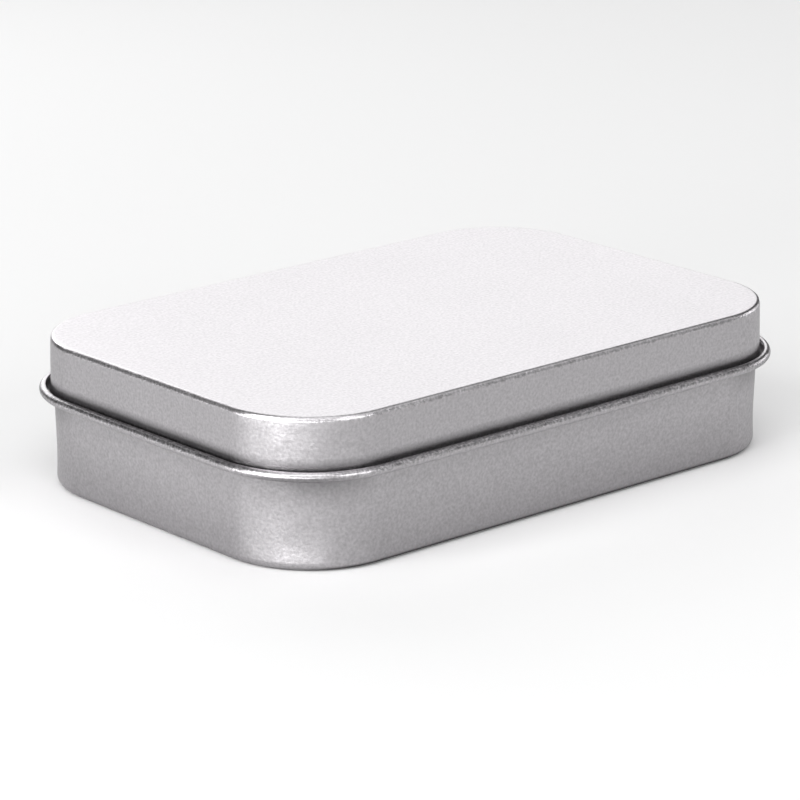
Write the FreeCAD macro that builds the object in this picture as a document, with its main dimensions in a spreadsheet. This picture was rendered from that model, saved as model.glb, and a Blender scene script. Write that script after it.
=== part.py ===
import FreeCAD, Part
import math
import os
import Sketcher

# A pressed tinplate box, shut: a flat-topped lid with an outward curled rim, slipped over a plain
# straight-walled base. X runs along the box, Y across it, and Z up from the middle of its underside.
# Lengths are in millimetres and angles in degrees.

sizeRows = [
    ("lidLength", 92.8, "length over the lid's skirt, without the curl"),
    ("lidWidth", 61.6, "width over the lid's skirt, without the curl"),
    ("totalHeight", 21.2, "from the underside of the base to the top of the lid"),
    ("cornerRadius", 13.6, "plan radius of the skirt's corners"),
    ("sheetThickness", 0.25, "tinplate of the lid"),
    ("edgeRadius", 0.75, "rolled edge round the top of the lid"),
    ("edgeOverhang", 0.1, "how far the rolled edge stands out over the skirt"),
    ("seamHeight", 12.95, "height of the curl's underside"),
    ("curlRadius", 0.63, "outer radius of the curl's section"),
    ("curlStandOff", 1.6, "how far the curl stands out from the skirt"),
    ("lipAngle", 25.0, "how far the lip turns on past the top of the curl"),
    ("flangeFillet", 0.3, "inside of the bend from the skirt out to the flange"),
    ("fitClearance", 0.05, "gap between the base and the inside of the skirt"),
    ("cornerEase", 0.4, "extra plan radius that keeps the base's corners off the lid's"),
    ("bottomRadius", 1.5, "rounded edge under the base"),
]
size = {alias: value for alias, value, meaning in sizeRows}

# Sketcher's codes for the points of a piece of geometry, and for the sketch's own origin and X axis.
startPoint, endPoint, centrePoint = 1, 2, 3
origin = (-1, 1)
horizontalAxis = -1

document = FreeCAD.newDocument("TinBox")


def makeSheet(rows):
    sheet = document.addObject("Spreadsheet::Sheet", "sizes")
    for row, (alias, value, meaning) in enumerate(rows, start=1):
        sheet.set(f"A{row}", meaning)
        sheet.set(f"B{row}", str(value))
        sheet.setAlias(f"B{row}", alias)
    document.recompute()


def makeBody(name):
    body = document.addObject("PartDesign::Body", name)
    body.Label = name
    body.Placement = FreeCAD.Placement()
    return body


def makeSketch(body, name, planeRole):
    sketch = body.newObject("Sketcher::SketchObject", name)
    plane = next(feature for feature in body.Origin.OriginFeatures if feature.Role == planeRole)
    sketch.AttachmentSupport = [(plane, "")]
    sketch.MapMode = "FlatFace"
    return sketch


def addLine(sketch, start, end):
    return sketch.addGeometry(Part.LineSegment(FreeCAD.Vector(*start), FreeCAD.Vector(*end)))


def addArc(sketch, centre, radius, fromAngle, toAngle):
    circle = Part.Circle(FreeCAD.Vector(*centre), FreeCAD.Vector(0, 0, 1), radius)
    return sketch.addGeometry(Part.ArcOfCircle(circle, math.radians(fromAngle), math.radians(toAngle)))


def relate(sketch, kind, *places):
    sketch.addConstraint(Sketcher.Constraint(kind, *places))


def bind(sketch, expression, kind, *places):
    """Adds a dimension that follows an expression on the sheet."""
    value = sketch.evalExpression(expression)
    if kind == "Angle":
        value = math.radians(value)
    index = sketch.addConstraint(Sketcher.Constraint(kind, *places, value))
    sketch.setExpression(f"Constraints[{index}]", expression)


def drawRoundedRectangle(sketch, length, width, radius):
    """Draws a rounded rectangle about the origin from three expressions.

    It starts half way up its right-hand side, where a section swept round it lies square to it.
    """
    x = sketch.evalExpression(length) / 2
    y = sketch.evalExpression(width) / 2
    cornerRadius = sketch.evalExpression(radius)
    innerX = x - cornerRadius
    innerY = y - cornerRadius
    outline = [
        addLine(sketch, (x, 0, 0), (x, innerY, 0)),
        addArc(sketch, (innerX, innerY, 0), cornerRadius, 0, 90),
        addLine(sketch, (innerX, y, 0), (-innerX, y, 0)),
        addArc(sketch, (-innerX, innerY, 0), cornerRadius, 90, 180),
        addLine(sketch, (-x, innerY, 0), (-x, -innerY, 0)),
        addArc(sketch, (-innerX, -innerY, 0), cornerRadius, 180, 270),
        addLine(sketch, (-innerX, -y, 0), (innerX, -y, 0)),
        addArc(sketch, (innerX, -innerY, 0), cornerRadius, 270, 360),
        addLine(sketch, (x, -innerY, 0), (x, 0, 0)),
    ]
    rightUpper, cornerOne, back, cornerTwo, left, cornerThree, front, cornerFour, rightLower = outline
    for piece, following in zip(outline, outline[1:]):
        relate(sketch, "Tangent", piece, endPoint, following, startPoint)
    relate(sketch, "Coincident", rightLower, endPoint, rightUpper, startPoint)
    relate(sketch, "PointOnObject", rightUpper, startPoint, horizontalAxis)
    for upright in (rightUpper, left, rightLower):
        relate(sketch, "Vertical", upright)
    for level in (back, front):
        relate(sketch, "Horizontal", level)
    for corner in (cornerTwo, cornerThree, cornerFour):
        relate(sketch, "Equal", cornerOne, corner)
    relate(sketch, "Symmetric", cornerOne, centrePoint, cornerThree, centrePoint, *origin)
    bind(sketch, radius, "Radius", cornerOne)
    bind(sketch, length, "DistanceX", left, startPoint, rightUpper, startPoint)
    bind(sketch, width, "DistanceY", front, startPoint, back, startPoint)


def drawSheetSection(sketch):
    """Draws the lid's sheet in section: its rolled edge, skirt, flange and curl, at the lid's +X side."""
    thickness = size["sheetThickness"]
    edgeRadius = size["edgeRadius"]
    bendRadius = size["flangeFillet"]
    curlRadius = size["curlRadius"]
    skirtX = size["lidLength"] / 2
    flangeZ = size["seamHeight"]
    rollX = skirtX + size["edgeOverhang"] - edgeRadius
    rollZ = size["totalHeight"] - edgeRadius
    bendX = skirtX + bendRadius
    bendZ = flangeZ + thickness + bendRadius
    curlX = skirtX + size["curlStandOff"] - curlRadius
    curlZ = flangeZ + curlRadius
    upwards, leftwards, downwards = 90, 180, 270
    lipTurn = upwards + size["lipAngle"]
    rollTurn = -math.degrees(math.acos(1 - size["edgeOverhang"] / edgeRadius))
    lipAcross = -math.sin(math.radians(size["lipAngle"]))
    lipUp = math.cos(math.radians(size["lipAngle"]))
    innerCurlRadius = curlRadius - thickness
    lipInside = (curlX + lipAcross * innerCurlRadius, curlZ + lipUp * innerCurlRadius, 0)
    lipOutside = (curlX + lipAcross * curlRadius, curlZ + lipUp * curlRadius, 0)

    rollOutside = addArc(sketch, (rollX, rollZ, 0), edgeRadius, rollTurn, upwards)
    rollInside = addArc(sketch, (rollX, rollZ, 0), edgeRadius - thickness, rollTurn, upwards)
    panelEnd = addLine(sketch, (rollX, rollZ + edgeRadius - thickness, 0), (rollX, rollZ + edgeRadius, 0))
    skirtOutside = addLine(sketch, (skirtX, rollZ, 0), (skirtX, bendZ, 0))
    skirtInside = addLine(sketch, (skirtX - thickness, bendZ, 0), (skirtX - thickness, rollZ, 0))
    bendOutside = addArc(sketch, (bendX, bendZ, 0), bendRadius, leftwards, downwards)
    bendInside = addArc(sketch, (bendX, bendZ, 0), bendRadius + thickness, leftwards, downwards)
    flangeTop = addLine(sketch, (bendX, flangeZ + thickness, 0), (curlX, flangeZ + thickness, 0))
    flangeUnder = addLine(sketch, (curlX, flangeZ, 0), (bendX, flangeZ, 0))
    curlInside = addArc(sketch, (curlX, curlZ, 0), innerCurlRadius, downwards, lipTurn)
    curlOutside = addArc(sketch, (curlX, curlZ, 0), curlRadius, downwards, lipTurn)
    lip = addLine(sketch, lipInside, lipOutside)

    relate(sketch, "Coincident", panelEnd, startPoint, rollInside, endPoint)
    relate(sketch, "Coincident", panelEnd, endPoint, rollOutside, endPoint)
    relate(sketch, "Vertical", panelEnd)
    relate(sketch, "PointOnObject", rollOutside, centrePoint, panelEnd)
    relate(sketch, "Coincident", rollInside, centrePoint, rollOutside, centrePoint)
    relate(sketch, "Coincident", skirtOutside, startPoint, rollOutside, startPoint)
    relate(sketch, "Vertical", skirtOutside)
    relate(sketch, "Tangent", skirtOutside, endPoint, bendOutside, startPoint)
    relate(sketch, "Tangent", bendOutside, endPoint, flangeTop, startPoint)
    relate(sketch, "Horizontal", flangeTop)
    relate(sketch, "Tangent", flangeTop, endPoint, curlInside, startPoint)
    relate(sketch, "Coincident", curlInside, centrePoint, curlOutside, centrePoint)
    relate(sketch, "Coincident", lip, startPoint, curlInside, endPoint)
    relate(sketch, "Coincident", lip, endPoint, curlOutside, endPoint)
    relate(sketch, "PointOnObject", curlOutside, centrePoint, lip)
    relate(sketch, "Tangent", curlOutside, startPoint, flangeUnder, startPoint)
    relate(sketch, "Horizontal", flangeUnder)
    relate(sketch, "Tangent", flangeUnder, endPoint, bendInside, endPoint)
    relate(sketch, "Coincident", bendInside, centrePoint, bendOutside, centrePoint)
    relate(sketch, "Tangent", bendInside, startPoint, skirtInside, startPoint)
    relate(sketch, "Vertical", skirtInside)
    relate(sketch, "Coincident", skirtInside, endPoint, rollInside, startPoint)

    skirtFace = "sizes.lidLength / 2"
    bind(sketch, skirtFace, "DistanceX", *origin, skirtOutside, startPoint)
    bind(sketch, "sizes.edgeRadius", "Radius", rollOutside)
    bind(sketch, "sizes.edgeRadius - sizes.sheetThickness", "Radius", rollInside)
    bind(sketch, "sizes.totalHeight - sizes.edgeRadius", "DistanceY", *origin, rollOutside, centrePoint)
    bind(sketch, f"{skirtFace} + sizes.edgeOverhang - sizes.edgeRadius",
         "DistanceX", *origin, rollOutside, centrePoint)
    bind(sketch, "sizes.flangeFillet", "Radius", bendOutside)
    bind(sketch, "sizes.curlRadius", "Radius", curlOutside)
    bind(sketch, "sizes.curlRadius - sizes.sheetThickness", "Radius", curlInside)
    bind(sketch, "180 + sizes.lipAngle", "Angle", curlOutside)
    bind(sketch, f"{skirtFace} + sizes.curlStandOff - sizes.curlRadius",
         "DistanceX", *origin, curlOutside, centrePoint)
    bind(sketch, "sizes.seamHeight", "DistanceY", *origin, flangeUnder, startPoint)


def pad(body, name, sketch, expression):
    feature = body.newObject("PartDesign::Pad", name)
    feature.Profile = sketch
    feature.setExpression("Length", expression)
    document.recompute()
    return feature


def edgesAtHeight(shape, height):
    """Names the edges that lie wholly at one height, ready for a fillet."""
    tolerance = 1e-6
    names = []
    for number, edge in enumerate(shape.Edges, start=1):
        if all(abs(vertex.Z - height) < tolerance for vertex in edge.Vertexes):
            names.append(f"Edge{number}")
    return names


def roundEdges(body, name, feature, height, expression):
    fillet = body.newObject("PartDesign::Fillet", name)
    fillet.Base = (feature, edgesAtHeight(feature.Shape, height))
    fillet.setExpression("Radius", expression)
    document.recompute()
    return fillet


def makeLid():
    """The lid: one sheet swept round the box in section, closed by its flat top panel."""
    body = makeBody("lid")
    path = makeSketch(body, "skirtOutline", "XY_Plane")
    drawRoundedRectangle(path, "sizes.lidLength", "sizes.lidWidth", "sizes.cornerRadius")
    section = makeSketch(body, "sheetSection", "XZ_Plane")
    drawSheetSection(section)
    document.recompute()
    sweep = body.newObject("PartDesign::AdditivePipe", "sweptSheet")
    sweep.Profile = section
    sweep.Spine = path
    document.recompute()

    panelInset = "(sizes.edgeRadius - sizes.edgeOverhang)"
    panel = makeSketch(body, "panelOutline", "XY_Plane")
    panel.setExpression("AttachmentOffset.Base.z", "sizes.totalHeight - sizes.sheetThickness")
    drawRoundedRectangle(panel, f"sizes.lidLength - 2 * {panelInset}",
                         f"sizes.lidWidth - 2 * {panelInset}", f"sizes.cornerRadius - {panelInset}")
    pad(body, "topPanel", panel, "sizes.sheetThickness")
    return body


def makeBase():
    """The base, shut under the lid: a closed block up to the underside of the lid's panel."""
    body = makeBody("base")
    inset = "(sizes.sheetThickness + sizes.fitClearance)"
    outline = makeSketch(body, "baseOutline", "XY_Plane")
    drawRoundedRectangle(outline, f"sizes.lidLength - 2 * {inset}", f"sizes.lidWidth - 2 * {inset}",
                         f"sizes.cornerRadius - {inset} + sizes.cornerEase")
    block = pad(body, "baseBlock", outline, "sizes.totalHeight - sizes.sheetThickness")
    blockTop = size["totalHeight"] - size["sheetThickness"]
    shoulder = roundEdges(body, "shoulder", block, blockTop, "sizes.edgeRadius")
    roundEdges(body, "bottomEdge", shoulder, 0, "sizes.bottomRadius")
    return body


def checkDocument(bodies):
    for thing in document.Objects:
        if "Invalid" in thing.State or "Error" in thing.State:
            raise RuntimeError(f"{thing.Name} did not build: {thing.State}")
    for body in bodies:
        if body.Shape.isNull() or not body.Shape.isValid():
            raise RuntimeError(f"{body.Label} has no valid shape")


makeSheet(sizeRows)
bodies = [makeLid(), makeBase()]
document.recompute()
checkDocument(bodies)
os.makedirs("parts", exist_ok=True)
for body in bodies:
    body.Shape.exportStep(f"parts/{body.Label}.step")
    print(body.Label, len(body.Shape.Solids), "solid", round(body.Shape.Volume, 1), "mm3")
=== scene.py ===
import math

import bmesh
import bpy
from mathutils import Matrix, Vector


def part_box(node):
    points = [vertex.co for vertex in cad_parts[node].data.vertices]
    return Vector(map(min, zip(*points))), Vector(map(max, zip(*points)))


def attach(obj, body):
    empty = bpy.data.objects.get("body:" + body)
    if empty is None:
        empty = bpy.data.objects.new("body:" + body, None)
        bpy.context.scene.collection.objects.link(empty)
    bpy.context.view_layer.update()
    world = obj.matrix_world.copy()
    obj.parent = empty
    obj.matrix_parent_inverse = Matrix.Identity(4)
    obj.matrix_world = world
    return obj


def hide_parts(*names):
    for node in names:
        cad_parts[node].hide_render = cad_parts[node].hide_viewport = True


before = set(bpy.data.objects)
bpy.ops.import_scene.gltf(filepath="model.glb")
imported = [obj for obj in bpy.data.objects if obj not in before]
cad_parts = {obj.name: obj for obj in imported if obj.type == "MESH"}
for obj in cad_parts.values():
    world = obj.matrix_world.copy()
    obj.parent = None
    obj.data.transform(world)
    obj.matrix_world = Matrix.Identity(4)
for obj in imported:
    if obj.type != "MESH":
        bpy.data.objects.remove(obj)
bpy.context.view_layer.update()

# A shut pocket tin in satin tinplate: a pressed lid with an outward curl round its skirt, over a plain
# base. Shapes are written in millimetres, and mm turns them into the scene's metres.
mm = 0.001
tiny = 0.02 * mm  # heights and distances closer than this count as equal
lidLow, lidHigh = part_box("lid")
baseLow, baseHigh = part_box("base")


# ---- drawing a section and taking it round the box

def startSection(x, z):
    section = bmesh.new()
    section.verts.new((x, 0, z))
    return section


def lastPoint(section):
    section.verts.ensure_lookup_table()
    return section.verts[-1]


def drawLine(section, x, z, steps=1):
    pen = lastPoint(section)
    step = (Vector((x, 0, z)) - pen.co) / steps
    bmesh.ops.spin(section, geom=[pen], cent=(0, 0, 0), axis=(0, 1, 0), dvec=step, angle=0, steps=steps)


def drawArc(section, centreX, centreZ, turn, steps):
    # A positive turn goes clockwise as seen from the front, with X to the right and Z up
    bmesh.ops.spin(section, geom=[lastPoint(section)], cent=(centreX, 0, centreZ), axis=(0, 1, 0),
                   angle=math.radians(turn), steps=steps)


def sweepRound(section, innerX, innerY, sideStep, cornerSteps):
    # The section lies at the right-hand side. It goes up that side, round the corner, and on to its start
    bmesh.ops.translate(section, verts=section.verts, vec=(0, -innerY, 0))
    geometry = section.verts[:] + section.edges[:]
    runs = [
        (Vector((0, 2 * innerY, 0)), (innerX, innerY, 0)),
        (Vector((-2 * innerX, 0, 0)), (-innerX, innerY, 0)),
        (Vector((0, -2 * innerY, 0)), (-innerX, -innerY, 0)),
        (Vector((2 * innerX, 0, 0)), (innerX, -innerY, 0)),
    ]
    for run, corner in runs:
        steps = math.ceil(run.length / sideStep)
        swept = bmesh.ops.spin(section, geom=geometry, cent=(0, 0, 0), axis=(0, 0, 1),
                               dvec=run / steps, angle=0, steps=steps)
        swept = bmesh.ops.spin(section, geom=swept["geom_last"], cent=corner, axis=(0, 0, 1),
                               angle=math.radians(90), steps=cornerSteps)
        geometry = swept["geom_last"]
    bmesh.ops.remove_doubles(section, verts=section.verts, dist=0.001 * mm)


def easeCorners(shell, innerX, innerY, radius, low, high, inset):
    # Draws the corner walls in between two heights. At each share of that height, from 0 to 1, inset
    # gives how far
    wallDepth = 1 * mm  # how far in from the outside is still wall
    for vertex in shell.verts:
        x, y, z = vertex.co
        away = Vector((abs(x) - innerX, abs(y) - innerY))
        if min(away) <= 0 or away.length < radius - wallDepth or not low < z <= high:
            continue
        share = (z - low) / (high - low)
        turn = 2 * math.atan2(away.y, away.x)
        inward = away.normalized() * inset(share) * math.sin(turn) ** 2
        vertex.co.x -= math.copysign(inward.x, x)
        vertex.co.y -= math.copysign(inward.y, y)


def markCorners(shell, innerX, innerY):
    # One in the middle of each corner, and nothing along the sides
    layer = shell.verts.layers.float.new("corner")
    for vertex in shell.verts:
        awayX = max(0, abs(vertex.co.x) - innerX)
        awayY = max(0, abs(vertex.co.y) - innerY)
        vertex[layer] = math.sin(2 * math.atan2(awayY, awayX)) ** 2


def closePanels(shell, margin):
    # Fills the flat ends, and gives each a narrow border so that its shading stays flat
    rims = [edge for edge in shell.edges if edge.is_boundary]
    panels = bmesh.ops.holes_fill(shell, edges=rims, sides=0)["faces"]
    bmesh.ops.inset_individual(shell, faces=panels, thickness=margin)


def finishPiece(shell, name, nodeName, material):
    bmesh.ops.recalc_face_normals(shell, faces=shell.faces)
    for face in shell.faces:
        face.smooth = True
    mesh = bpy.data.meshes.new(name)
    shell.to_mesh(mesh)
    shell.free()
    mesh.materials.append(material)
    piece = bpy.data.objects.new(name, mesh)
    bpy.context.scene.collection.objects.link(piece)
    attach(piece, "root")
    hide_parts(nodeName)
    print(f"{name}: {len(mesh.polygons)} faces")


# ---- the tinplate finish

def link(tree, source, target):
    tree.links.new(source, target)


def addSockets(group, inputs, outputs):
    for name, kind in inputs:
        group.interface.new_socket(name=name, in_out="INPUT", socket_type=kind)
    for name, kind in outputs:
        group.interface.new_socket(name=name, in_out="OUTPUT", socket_type=kind)


def addMath(tree, operation, first, second):
    node = tree.nodes.new("ShaderNodeMath")
    node.operation = operation
    for socket, value in zip(node.inputs, (first, second)):
        if isinstance(value, (int, float)):
            socket.default_value = value
        else:
            link(tree, value, socket)
    return node.outputs["Value"]


def addMix(tree, first, second, share):
    node = tree.nodes.new("ShaderNodeMix")
    node.data_type = "RGBA"
    sockets = [socket for socket in node.inputs if socket.type == "RGBA"]
    for socket, value in zip(sockets, (first, second)):
        if isinstance(value, tuple):
            socket.default_value = value
        else:
            link(tree, value, socket)
    link(tree, share, node.inputs["Factor"])
    return next(socket for socket in node.outputs if socket.type == "RGBA")


def addNoise(tree, vector, scale, detail, roughness):
    node = tree.nodes.new("ShaderNodeTexNoise")
    node.inputs["Detail"].default_value = detail
    node.inputs["Roughness"].default_value = roughness
    link(tree, vector, node.inputs["Vector"])
    link(tree, scale, node.inputs["Scale"])
    return node.outputs["Fac"]


def makeFrostedGrain():
    # The frosted grain of satin tinplate: fine and coarse grain as one height, and wide soft clouds
    group = bpy.data.node_groups.new("frostedGrain", "ShaderNodeTree")
    addSockets(group,
               [("Vector", "NodeSocketVector"), ("Fine Scale", "NodeSocketFloat"),
                ("Coarse Scale", "NodeSocketFloat"), ("Cloud Scale", "NodeSocketFloat"),
                ("Coarse Share", "NodeSocketFloat")],
               [("Height", "NodeSocketFloat"), ("Cloud", "NodeSocketFloat")])
    inside = group.nodes.new("NodeGroupInput").outputs
    outside = group.nodes.new("NodeGroupOutput").inputs
    blend = group.nodes.new("ShaderNodeMix")
    link(group, inside["Coarse Share"], blend.inputs["Factor"])
    fine = addNoise(group, inside["Vector"], inside["Fine Scale"], detail=1, roughness=0.5)
    coarse = addNoise(group, inside["Vector"], inside["Coarse Scale"], detail=2, roughness=0.6)
    cloud = addNoise(group, inside["Vector"], inside["Cloud Scale"], detail=3, roughness=0.5)
    link(group, fine, blend.inputs["A"])
    link(group, coarse, blend.inputs["B"])
    link(group, blend.outputs["Result"], outside["Height"])
    link(group, cloud, outside["Cloud"])
    return group


def makeBentBand():
    # A mask of one where the sheet was bent, between two heights, which fades out over a soft edge
    group = bpy.data.node_groups.new("bentBand", "ShaderNodeTree")
    addSockets(group,
               [("Vector", "NodeSocketVector"), ("Low", "NodeSocketFloat"),
                ("High", "NodeSocketFloat"), ("Softness", "NodeSocketFloat")],
               [("Mask", "NodeSocketFloat")])
    inside = group.nodes.new("NodeGroupInput").outputs
    outside = group.nodes.new("NodeGroupOutput").inputs
    split = group.nodes.new("ShaderNodeSeparateXYZ")
    link(group, inside["Vector"], split.inputs["Vector"])
    height = split.outputs["Z"]
    sides = []
    for edge, sign in (("Low", 1), ("High", -1)):
        away = addMath(group, "MULTIPLY", addMath(group, "SUBTRACT", height, inside[edge]), sign)
        share = addMath(group, "DIVIDE", away, inside["Softness"])
        sides.append(addMath(group, "MINIMUM", addMath(group, "MAXIMUM", share, 0), 1))
    link(group, addMath(group, "MULTIPLY", sides[0], sides[1]), outside["Mask"])
    return group


def makePaintedShadeMix():
    # Painted shade: a dark colour laid over the bright tone, which the grain breaks up along its edge
    # where the sheet is bent
    group = bpy.data.node_groups.new("paintedShadeMix", "ShaderNodeTree")
    addSockets(group,
               [("Tone", "NodeSocketColor"), ("Shade Colour", "NodeSocketColor"), ("Amount", "NodeSocketFloat"),
                ("Grain", "NodeSocketFloat"), ("Bent", "NodeSocketFloat"), ("Shade", "NodeSocketFloat"),
                ("Speckle", "NodeSocketFloat")],
               [("Color", "NodeSocketColor")])
    inside = group.nodes.new("NodeGroupInput").outputs
    outside = group.nodes.new("NodeGroupOutput").inputs
    amount = inside["Amount"]
    edge = addMath(group, "MULTIPLY", amount, addMath(group, "SUBTRACT", 1, amount))
    strength = addMath(group, "MULTIPLY", inside["Bent"], inside["Speckle"])
    grain = addMath(group, "MULTIPLY", inside["Grain"], strength)
    cover = addMath(group, "MULTIPLY", amount, inside["Shade"])
    share = addMath(group, "SUBTRACT", cover, addMath(group, "MULTIPLY", edge, grain))
    link(group, addMix(group, inside["Tone"], inside["Shade Colour"], share), outside["Color"])
    return group


def makeTinplate(name, look, bands):
    material = bpy.data.materials.new(name)
    material.use_nodes = True
    tree = material.node_tree
    tree.nodes.clear()
    output = tree.nodes.new("ShaderNodeOutputMaterial")
    shader = tree.nodes.new("ShaderNodeBsdfPrincipled")
    link(tree, shader.outputs["BSDF"], output.inputs["Surface"])
    shader.inputs["Metallic"].default_value = 1
    place = tree.nodes.new("ShaderNodeTexCoord").outputs["Object"]

    grain = tree.nodes.new("ShaderNodeGroup")
    grain.node_tree = grainGroup
    for socket in ("Fine", "Coarse", "Cloud"):
        grain.inputs[f"{socket} Scale"].default_value = 1 / (look[f"{socket.lower()}Size"] * mm)
    grain.inputs["Coarse Share"].default_value = look["coarseShare"]
    link(tree, place, grain.inputs["Vector"])

    bent = None
    for low, high in bands:
        band = tree.nodes.new("ShaderNodeGroup")
        band.node_tree = bandGroup
        band.inputs["Low"].default_value = low
        band.inputs["High"].default_value = high
        band.inputs["Softness"].default_value = look["bandSoftness"] * mm
        link(tree, place, band.inputs["Vector"])
        mask = band.outputs["Mask"]
        bent = mask if bent is None else addMath(tree, "MAXIMUM", bent, mask)

    # Round the corners the sheet is drawn tight, which smooths it again
    corner = tree.nodes.new("ShaderNodeAttribute")
    corner.attribute_name = "corner"
    calm = addMath(tree, "MULTIPLY", corner.outputs["Fac"], -look["cornerCalm"])
    bent = addMath(tree, "MULTIPLY", bent, addMath(tree, "ADD", calm, 1))

    # Bent sheet has deeper grain and is duller, for the stretch opens its surface
    depth = addMath(tree, "ADD", addMath(tree, "MULTIPLY", bent, look["bentGrain"]), 1)
    level = addMath(tree, "SUBTRACT", grain.outputs["Height"], 0.5)
    cloud = addMath(tree, "SUBTRACT", grain.outputs["Cloud"], 0.5)
    wave = addMath(tree, "MULTIPLY", cloud, look["waveDepth"] / look["grainDepth"])
    height = addMath(tree, "ADD", addMath(tree, "MULTIPLY", level, depth), wave)
    bump = tree.nodes.new("ShaderNodeBump")
    bump.inputs["Distance"].default_value = look["grainDepth"] * mm
    link(tree, height, bump.inputs["Height"])
    link(tree, bump.outputs["Normal"], shader.inputs["Normal"])

    swing = addMath(tree, "MULTIPLY", cloud, look["roughnessSwing"])
    dull = addMath(tree, "MULTIPLY", bent, look["bentRoughness"])
    roughness = addMath(tree, "ADD", addMath(tree, "ADD", swing, dull), look["roughness"])
    link(tree, roughness, shader.inputs["Roughness"])

    speckle = addMath(tree, "ADD", addMath(tree, "MULTIPLY", bent, look["bentSpeckle"]), 1)
    toneShare = addMath(tree, "ADD", addMath(tree, "MULTIPLY", level, speckle), 0.5)
    tone = addMix(tree, (*look["shade"], 1), (*look["colour"], 1), toneShare)

    # Painted shade: the marked amount mixes the dark colour into the tone, where shade falls in the
    # groove and on the base
    paintedShade = tree.nodes.new("ShaderNodeAttribute")
    paintedShade.attribute_name = "paintedShade"
    paintedDark = tree.nodes.new("ShaderNodeGroup")
    paintedDark.node_tree = shadeMixGroup
    paintedDark.inputs["Shade Colour"].default_value = (*look["paintedDark"], 1)
    paintedDark.inputs["Shade"].default_value = look["paintedShadeStrength"]
    paintedDark.inputs["Speckle"].default_value = look["shadeEdgeSpeckle"]
    link(tree, tone, paintedDark.inputs["Tone"])
    link(tree, paintedShade.outputs["Fac"], paintedDark.inputs["Amount"])
    link(tree, level, paintedDark.inputs["Grain"])
    link(tree, bent, paintedDark.inputs["Bent"])
    link(tree, paintedDark.outputs["Color"], shader.inputs["Base Color"])
    return material


# Sizes and depths are in millimetres, and colours and shares run from 0 to 1
tinLook = {
    "colour": (0.82, 0.795, 0.82),
    "shade": (0.44, 0.427, 0.44),
    "roughness": 0.315,
    "roughnessSwing": 0.04,
    "fineSize": 0.4,
    "coarseSize": 0.8,
    "coarseShare": 0.25,
    "cloudSize": 16,
    "waveDepth": 0.35,
    "grainDepth": 0.02,
    "bandSoftness": 0.15,
    "bentGrain": 2.5,
    "bentRoughness": 0.04,
    "bentSpeckle": 1.3,
    # painted shade: the dark colour that stands in for shade in the groove behind the curl and on the
    # base under it
    "paintedDark": (0.1, 0.095, 0.1),
    "paintedShadeStrength": 0.6,
    "shadeEdgeSpeckle": 5,
    "cornerCalm": 0.85,
}
grainGroup = makeFrostedGrain()
bandGroup = makeBentBand()
shadeMixGroup = makePaintedShadeMix()

# Where each piece is bent, in millimetres over its lowest point, or under the lid's top for the edge
lidLook = tinLook | {
    "curlBand": (0.35, 1.3),
    "edgeBand": (0.8, 0.1),
}
baseLook = tinLook | {
    "bentGrain": 0.5,
    "bentSpeckle": 0,
    "shadeEdgeSpeckle": 0,
    "footBand": (0.1, 1.5),
}
curlBand = [lidLow.z + height * mm for height in lidLook["curlBand"]]
edgeBand = [lidHigh.z - depth * mm for depth in lidLook["edgeBand"]]
footBand = [baseLow.z + height * mm for height in baseLook["footBand"]]
lidTin = makeTinplate("lidTinplate", lidLook, [curlBand, edgeBand])
baseTin = makeTinplate("baseTinplate", baseLook, [footBand])
print("tinplate materials are ready")


# ---- the lid

# Lengths are in millimetres, and turns in degrees
lidShape = {
    "cornerRadius": 13.6,
    "sheet": 0.25,
    "edgeRadius": 0.7,
    "bendRadius": 0.3,
    "curlRadius": 0.63,
    "curlStandOff": 1.6,
    "lipTurn": 25,
    "panelMargin": 0.3,
    "sideStep": 3,
    "cornerSteps": 28,
    "edgeSteps": 16,
    "skirtSteps": 4,
    "riseSteps": 6,
    "bendSteps": 8,
    "curlSteps": 26,
    "lipSteps": 8,
    "curlBackSteps": 30,
    "bendBackSteps": 10,
    "cornerLean": 0.12,
    "cornerDroop": 0.1,
    "longDroop": 0.32,
    "shortDroop": 0.2,
    # Painted shade: where it fades up the skirt, how much lies on the curl's crest, and how much darkens
    # the curl's front at the corners
    "grooveRise": 2.7,
    "grooveFull": 1.6,
    "crestShade": 0.8,
    "crestShadeTurn": 80,  # where the crest's painted shade ends, from the top of the curl outwards
    "crestShadeFade": 50,
    "cornerFront": 0.8,
    "frontFade": 0.8,
}


def paintGrooveShade(section, shape, skirtX, flangeZ, curlX, curlZ, fullZ, riseZ):
    # Marks painted shade in the groove behind the curl. The painted shade fades out up the skirt, and
    # over the curl's crest
    paintedShade = section.verts.layers.float["paintedShade"]
    innerRadius = (shape["curlRadius"] - shape["sheet"]) * mm
    for vertex in section.verts:
        x, z = vertex.co.x, vertex.co.z
        insideCurl = math.hypot(x - curlX, z - curlZ) < innerRadius + tiny
        outsideCurl = x > curlX - innerRadius and not insideCurl and z > curlZ
        if x < skirtX - tiny or z < flangeZ - tiny or (x > curlX and z < curlZ and not insideCurl):
            continue
        if outsideCurl:
            turn = math.degrees(math.atan2(x - curlX, z - curlZ))
            fade = (shape["crestShadeTurn"] - turn) / shape["crestShadeFade"]
            vertex[paintedShade] = max(0, min(shape["crestShade"], fade))
        elif insideCurl or z < curlZ:
            vertex[paintedShade] = 1
        elif x < skirtX + tiny:
            vertex[paintedShade] = max(0, min(1, (riseZ - z) / (riseZ - fullZ)))


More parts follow.
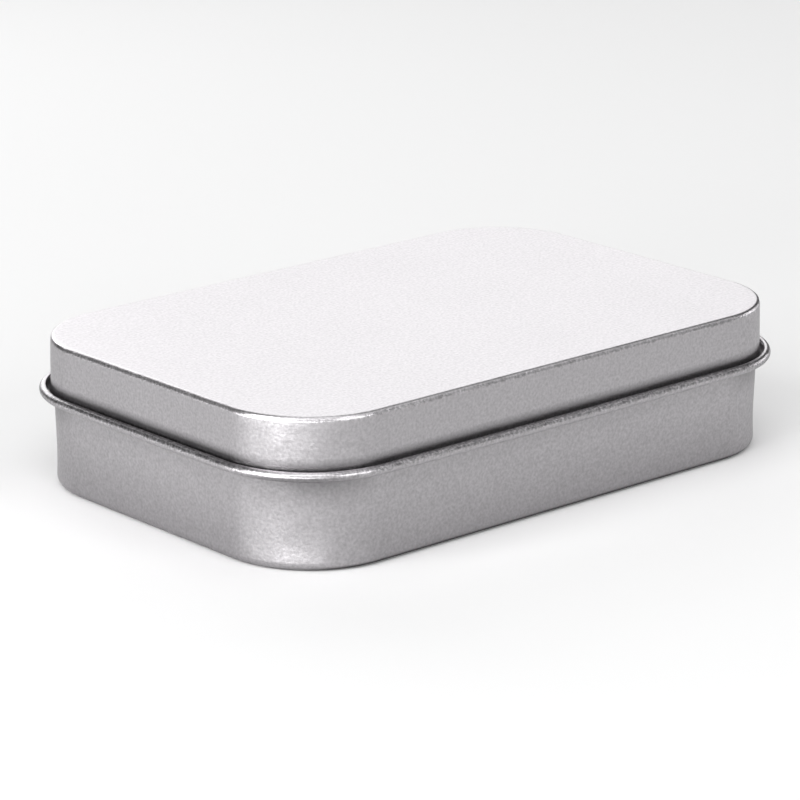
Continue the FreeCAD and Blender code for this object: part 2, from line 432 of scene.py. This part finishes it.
def droopCurl(shell, shape, innerX, innerY, skirtRadius):
    # The curl hangs lower along the middle of each side than at the corners, the more the further out.
    # Its crest hangs by half as much as its underside
    reach = (shape["curlStandOff"] - shape["curlRadius"]) * mm
    skirtZ = lidLow.z + 2 * mm  # all of the curl is lower than this
    for vertex in shell.verts:
        x, y = vertex.co.x, vertex.co.y
        anchor = Vector((max(-innerX, min(innerX, x)), max(-innerY, min(innerY, y)), 0))
        outside = (Vector((x, y, 0)) - anchor).length - skirtRadius
        if outside <= 0 or vertex.co.z > skirtZ:
            continue
        longSide = abs(y) > innerY and abs(x) < innerX
        shortSide = abs(x) > innerX and abs(y) < innerY
        droop = shape["cornerDroop"]
        if longSide:
            droop += (shape["longDroop"] - droop) * (1 - (x / innerX) ** 2)
        if shortSide:
            droop += (shape["shortDroop"] - droop) * (1 - (y / innerY) ** 2)
        share = min(1, outside / reach)
        rise = max(0, min(1, (vertex.co.z - lidLow.z) / (2 * shape["curlRadius"] * mm)))
        vertex.co.z -= droop * mm * share ** 2 * (1 - rise / 2)


def reshadeCorners(shell, shape, innerX, innerY, radius):
    # Outside the radius at each corner, the painted shade is taken off the top of the curl, and a little
    # painted shade darkens its front, more the lower down
    paintedShade = shell.verts.layers.float["paintedShade"]
    crestZ = lidLow.z + (2 * shape["curlRadius"] - shape["cornerDroop"] / 2) * mm
    for vertex in shell.verts:
        away = Vector((abs(vertex.co.x) - innerX, abs(vertex.co.y) - innerY))
        if min(away) > 0 and away.length > radius:
            corner = math.sin(2 * math.atan2(away.y, away.x)) ** 2
            front = shape["cornerFront"] * min(1, (crestZ - vertex.co.z) / (shape["frontFade"] * mm))
            vertex[paintedShade] = vertex[paintedShade] * (1 - corner) + max(0, front) * corner


def makeLid(shape, material):
    sheet = shape["sheet"] * mm
    edgeRadius = shape["edgeRadius"] * mm
    bendRadius = shape["bendRadius"] * mm
    curlRadius = shape["curlRadius"] * mm
    skirtX = lidHigh.x - shape["curlStandOff"] * mm
    skirtY = lidHigh.y - shape["curlStandOff"] * mm
    rollX = skirtX - edgeRadius
    rollZ = lidHigh.z - edgeRadius
    flangeZ = lidLow.z + sheet
    curlX = lidHigh.x - curlRadius
    curlZ = lidLow.z + curlRadius
    curlTurn = 180 + shape["lipTurn"]
    bendX = skirtX + bendRadius
    bendZ = flangeZ + bendRadius
    riseZ = lidLow.z + shape["grooveRise"] * mm
    fullZ = lidLow.z + shape["grooveFull"] * mm

    # Down the outside, round the inside of the curl to its lip, and back up the inside
    section = startSection(rollX, lidHigh.z)
    section.verts.layers.float.new("paintedShade")
    drawArc(section, rollX, rollZ, 90, shape["edgeSteps"])
    drawLine(section, skirtX, riseZ, shape["riseSteps"])
    drawLine(section, skirtX, fullZ, shape["skirtSteps"])
    drawLine(section, skirtX, bendZ, shape["skirtSteps"])
    drawArc(section, bendX, bendZ, -90, shape["bendSteps"])
    drawLine(section, curlX, flangeZ)
    drawArc(section, curlX, curlZ, -curlTurn, shape["curlSteps"])
    lipPoint = lastPoint(section).co.copy()
    outward = (lipPoint - Vector((curlX, 0, curlZ))).normalized()
    lipCentre = lipPoint + outward * sheet / 2
    drawArc(section, lipCentre.x, lipCentre.z, -180, shape["lipSteps"])
    drawArc(section, curlX, curlZ, curlTurn, shape["curlBackSteps"])
    drawLine(section, bendX, lidLow.z)
    drawArc(section, bendX, bendZ, 90, shape["bendBackSteps"])
    drawLine(section, skirtX - sheet, rollZ, shape["skirtSteps"])
    drawLine(section, rollX, lidHigh.z - sheet, shape["skirtSteps"])
    paintGrooveShade(section, shape, skirtX, flangeZ, curlX, curlZ, fullZ, riseZ)

    cornerRadius = shape["cornerRadius"] * mm
    innerX = skirtX - cornerRadius
    innerY = skirtY - cornerRadius
    sweepRound(section, innerX, innerY, shape["sideStep"] * mm, shape["cornerSteps"])
    markCorners(section, innerX, innerY)
    droopCurl(section, shape, innerX, innerY, cornerRadius)
    reshadeCorners(section, shape, innerX, innerY, cornerRadius + curlX - skirtX - curlRadius / 2)
    leanTop = lidHigh.z - sheet * 1.01  # just short of the top's inner face
    easeCorners(section, innerX, innerY, cornerRadius, bendZ, leanTop,
                lambda share: shape["cornerLean"] * mm * share ** 2)
    closePanels(section, shape["panelMargin"] * mm)
    finishPiece(section, "tinLid", "lid", material)


makeLid(lidShape, lidTin)


# ---- the base

# Lengths are in millimetres. The shades are amounts of painted shade, as on the lid's groove
baseShape = {
    "cornerRadius": 13.7,
    "bottomRadius": 1.3,
    "shoulderRadius": 0.75,
    "sideShade": 0.25,
    "cornerShade": 1.3,
    "shadeDrop": 5,
    "shadeCurve": 1.5,
    "wallShade": 0.5,
    "wallRise": 9.6,
    "contactShade": 1.5,
    "contactRise": 0.7,
    "cornerWaist": 0.2,
    "panelMargin": 0.3,
    "sideStep": 3,
    "cornerSteps": 28,
    "footSteps": 14,
    "wallSteps": 18,
    "hiddenSteps": 4,
    "shoulderSteps": 6,
}


def markShade(shell, shape, innerX, innerY):
    # Paints shade on the wall: a painted shadow close under the curl, most of all round the corners,
    # painted shade growing down the sides to the floor, and a painted shadow line where the long sides
    # meet it
    paintedShade = shell.verts.layers.float["paintedShade"]
    for vertex in shell.verts:
        x, y, z = vertex.co
        side = 2 * math.atan2(max(0, abs(y) - innerY), max(0, abs(x) - innerX))
        corner = math.sin(side)
        share = 1 - (lidLow.z - z) / (shape["shadeDrop"] * mm)
        if share > 0 and z < lidLow.z + tiny:
            strength = shape["sideShade"] + (shape["cornerShade"] - shape["sideShade"]) * corner
            vertex[paintedShade] = strength * share ** shape["shadeCurve"]
        share = 1 - (z - baseLow.z) / (shape["wallRise"] * mm)
        if share > 0:
            vertex[paintedShade] += shape["wallShade"] * share * (1 - corner)
        share = 1 - (z - baseLow.z) / (shape["contactRise"] * mm)
        if share > 0:
            longSide = (1 - math.cos(side)) / 2
            vertex[paintedShade] += shape["contactShade"] * min(1, 2 * share) * longSide


def waistInset(depth, share):
    # Nothing at both ends, and the full depth at a third of the way up
    return depth * share * (1 - share) ** 2 * 27 / 4


def makeBase(shape, material):
    bottomRadius = shape["bottomRadius"] * mm
    shoulderRadius = shape["shoulderRadius"] * mm
    cornerRadius = shape["cornerRadius"] * mm
    wallX = baseHigh.x
    section = startSection(wallX - bottomRadius, baseLow.z)
    section.verts.layers.float.new("paintedShade")
    drawArc(section, wallX - bottomRadius, baseLow.z + bottomRadius, -90, shape["footSteps"])
    drawLine(section, wallX, lidLow.z, shape["wallSteps"])
    drawLine(section, wallX, baseHigh.z - shoulderRadius, shape["hiddenSteps"])
    drawArc(section, wallX - shoulderRadius, baseHigh.z - shoulderRadius, -90, shape["shoulderSteps"])
    innerX = wallX - cornerRadius
    innerY = baseHigh.y - cornerRadius
    sweepRound(section, innerX, innerY, shape["sideStep"] * mm, shape["cornerSteps"])
    easeCorners(section, innerX, innerY, cornerRadius, baseLow.z, lidLow.z,
                lambda share: waistInset(shape["cornerWaist"] * mm, share))
    markCorners(section, innerX, innerY)
    markShade(section, shape, innerX, innerY)
    closePanels(section, shape["panelMargin"] * mm)
    finishPiece(section, "tinBase", "base", material)


makeBase(baseShape, baseTin)


# ---- floor, lights and camera

studio = {
    "floorHalfSide": 4,
    "floorSeen": 0.9,
    "floorReflected": 0.57,
    "fill": 0.03,
}


def makeFloor(halfSide, seen, reflected):
    shell = bmesh.new()
    bmesh.ops.create_grid(shell, x_segments=1, y_segments=1, size=halfSide)
    mesh = bpy.data.meshes.new("studioFloor")
    shell.to_mesh(mesh)
    shell.free()
    material = bpy.data.materials.new("studioWhite")
    material.use_nodes = True
    tree = material.node_tree
    shader = tree.nodes["Principled BSDF"]
    shader.inputs["Roughness"].default_value = 1
    shader.inputs["Specular IOR Level"].default_value = 0
    # Seen directly the floor is white, and the box reflects it a good deal greyer
    path = tree.nodes.new("ShaderNodeLightPath")
    tone = tree.nodes.new("ShaderNodeMix")
    tone.data_type = "RGBA"
    tone.inputs["A"].default_value = (reflected, reflected, reflected, 1)
    tone.inputs["B"].default_value = (seen, seen, seen, 1)
    link(tree, path.outputs["Is Camera Ray"], tone.inputs["Factor"])
    link(tree, tone.outputs["Result"], shader.inputs["Base Color"])
    mesh.materials.append(material)
    floor = bpy.data.objects.new("studioFloor", mesh)
    bpy.context.scene.collection.objects.link(floor)


def direction(azimuth, elevation):
    # Azimuth is counter-clockwise from +X
    a, e = math.radians(azimuth), math.radians(elevation)
    return Vector((math.cos(a) * math.cos(e), math.sin(a) * math.cos(e), math.sin(e)))


def makeSoftbox(name, light):
    lamp = bpy.data.lights.new(name, "AREA")
    lamp.shape = "RECTANGLE"
    lamp.size = light["width"]
    lamp.size_y = light["height"]
    lamp.energy = light["radiance"] * math.pi * light["width"] * light["height"]
    lampObject = bpy.data.objects.new(name, lamp)
    towards = direction(light["azimuth"], light["elevation"])
    lampObject.location = towards * light["distance"]
    lampObject.rotation_euler = towards.to_track_quat("Z", "Y").to_euler()
    lampObject.visible_camera = False
    bpy.context.scene.collection.objects.link(lampObject)


# Angles are in degrees and lengths in metres. Each softbox faces the middle of the box's underside
softboxes = {
    "backLow": {"azimuth": 60, "elevation": 10, "distance": 1.2,
                "width": 1, "height": 0.4, "radiance": 1.2},
    "backHigh": {"azimuth": 60, "elevation": 32, "distance": 1.2,
                 "width": 1.1, "height": 0.55, "radiance": 1.45},
    "nearBack": {"azimuth": 85, "elevation": 28, "distance": 0.4,
                 "width": 0.25, "height": 0.12, "radiance": 1.5},
    "leftA": {"azimuth": 166, "elevation": 6, "distance": 1,
              "width": 0.22, "height": 0.2, "radiance": 23},
    "leftB": {"azimuth": 180, "elevation": 6, "distance": 1,
              "width": 0.22, "height": 0.2, "radiance": 3.4},
    "leftC": {"azimuth": 194, "elevation": 6, "distance": 1,
              "width": 0.22, "height": 0.2, "radiance": 24},
    "leftD": {"azimuth": 210, "elevation": 6, "distance": 1,
              "width": 0.3, "height": 0.2, "radiance": 7},
    "leftHigh": {"azimuth": 180, "elevation": 40, "distance": 1.1,
                 "width": 0.6, "height": 0.45, "radiance": 4.5},
    "frontLeftLow": {"azimuth": 230, "elevation": 6, "distance": 1,
                     "width": 0.35, "height": 0.2, "radiance": 6.2},
    "frontHigh": {"azimuth": 225, "elevation": 52, "distance": 1.1,
                  "width": 0.7, "height": 0.5, "radiance": 2.9},
    "frontLow": {"azimuth": 262, "elevation": 6, "distance": 1,
                 "width": 0.5, "height": 0.2, "radiance": 0.7},
    "frontMiddle": {"azimuth": 275, "elevation": 25, "distance": 1,
                    "width": 0.6, "height": 0.4, "radiance": 3.8},
    "rightLow": {"azimuth": 312, "elevation": 5, "distance": 1,
                 "width": 0.8, "height": 0.24, "radiance": 0.2},
    "rightHigh": {"azimuth": 315, "elevation": 52, "distance": 1.1,
                  "width": 0.9, "height": 0.5, "radiance": 0.9},
    "rightBack": {"azimuth": 352, "elevation": 13, "distance": 1.1,
                  "width": 0.7, "height": 0.3, "radiance": 2.4},
    "backOverhead": {"azimuth": 48, "elevation": 50, "distance": 1.2,
                     "width": 0.9, "height": 0.4, "radiance": 0.4},
    "overhead": {"azimuth": 0, "elevation": 90, "distance": 1.2,
                 "width": 0.9, "height": 0.9, "radiance": 1.25},
}


def makeWorld(fill):
    world = bpy.data.worlds.new("studio")
    bpy.context.scene.world = world
    world.use_nodes = True
    tree = world.node_tree
    tree.nodes.clear()
    output = tree.nodes.new("ShaderNodeOutputWorld")
    mix = tree.nodes.new("ShaderNodeMixShader")
    seen = tree.nodes.new("ShaderNodeBackground")
    unseen = tree.nodes.new("ShaderNodeBackground")
    path = tree.nodes.new("ShaderNodeLightPath")
    seen.inputs["Color"].default_value = (1, 1, 1, 1)
    unseen.inputs["Color"].default_value = (fill, fill, fill, 1)
    link(tree, path.outputs["Is Camera Ray"], mix.inputs["Fac"])
    link(tree, unseen.outputs["Background"], mix.inputs[1])
    link(tree, seen.outputs["Background"], mix.inputs[2])
    link(tree, mix.outputs["Shader"], output.inputs["Surface"])


# The distance is in metres, and the lens and the aim are in millimetres
cameraPlace = {
    "azimuth": -41.4,
    "elevation": 17.31,
    "distance": 0.5435,
    "lens": 174.6,
    "aim": (-1.97, 0, 9.0),
}


def makeCamera(place):
    camera = bpy.data.cameras.new("camera")
    camera.sensor_width = 36
    camera.lens = place["lens"]
    camera.clip_start = 0.01
    camera.clip_end = 20
    cameraObject = bpy.data.objects.new("camera", camera)
    back = direction(place["azimuth"] - 90, place["elevation"])
    cameraObject.location = Vector(place["aim"]) * mm + back * place["distance"]
    cameraObject.rotation_euler = back.to_track_quat("Z", "Y").to_euler()
    bpy.context.scene.collection.objects.link(cameraObject)
    bpy.context.scene.camera = cameraObject


makeFloor(studio["floorHalfSide"], studio["floorSeen"], studio["floorReflected"])
for name, light in softboxes.items():
    makeSoftbox(name, light)
makeWorld(studio["fill"])
makeCamera(cameraPlace)
bpy.context.scene.view_settings.view_transform = "Standard"
print("floor, lights and camera are in place")
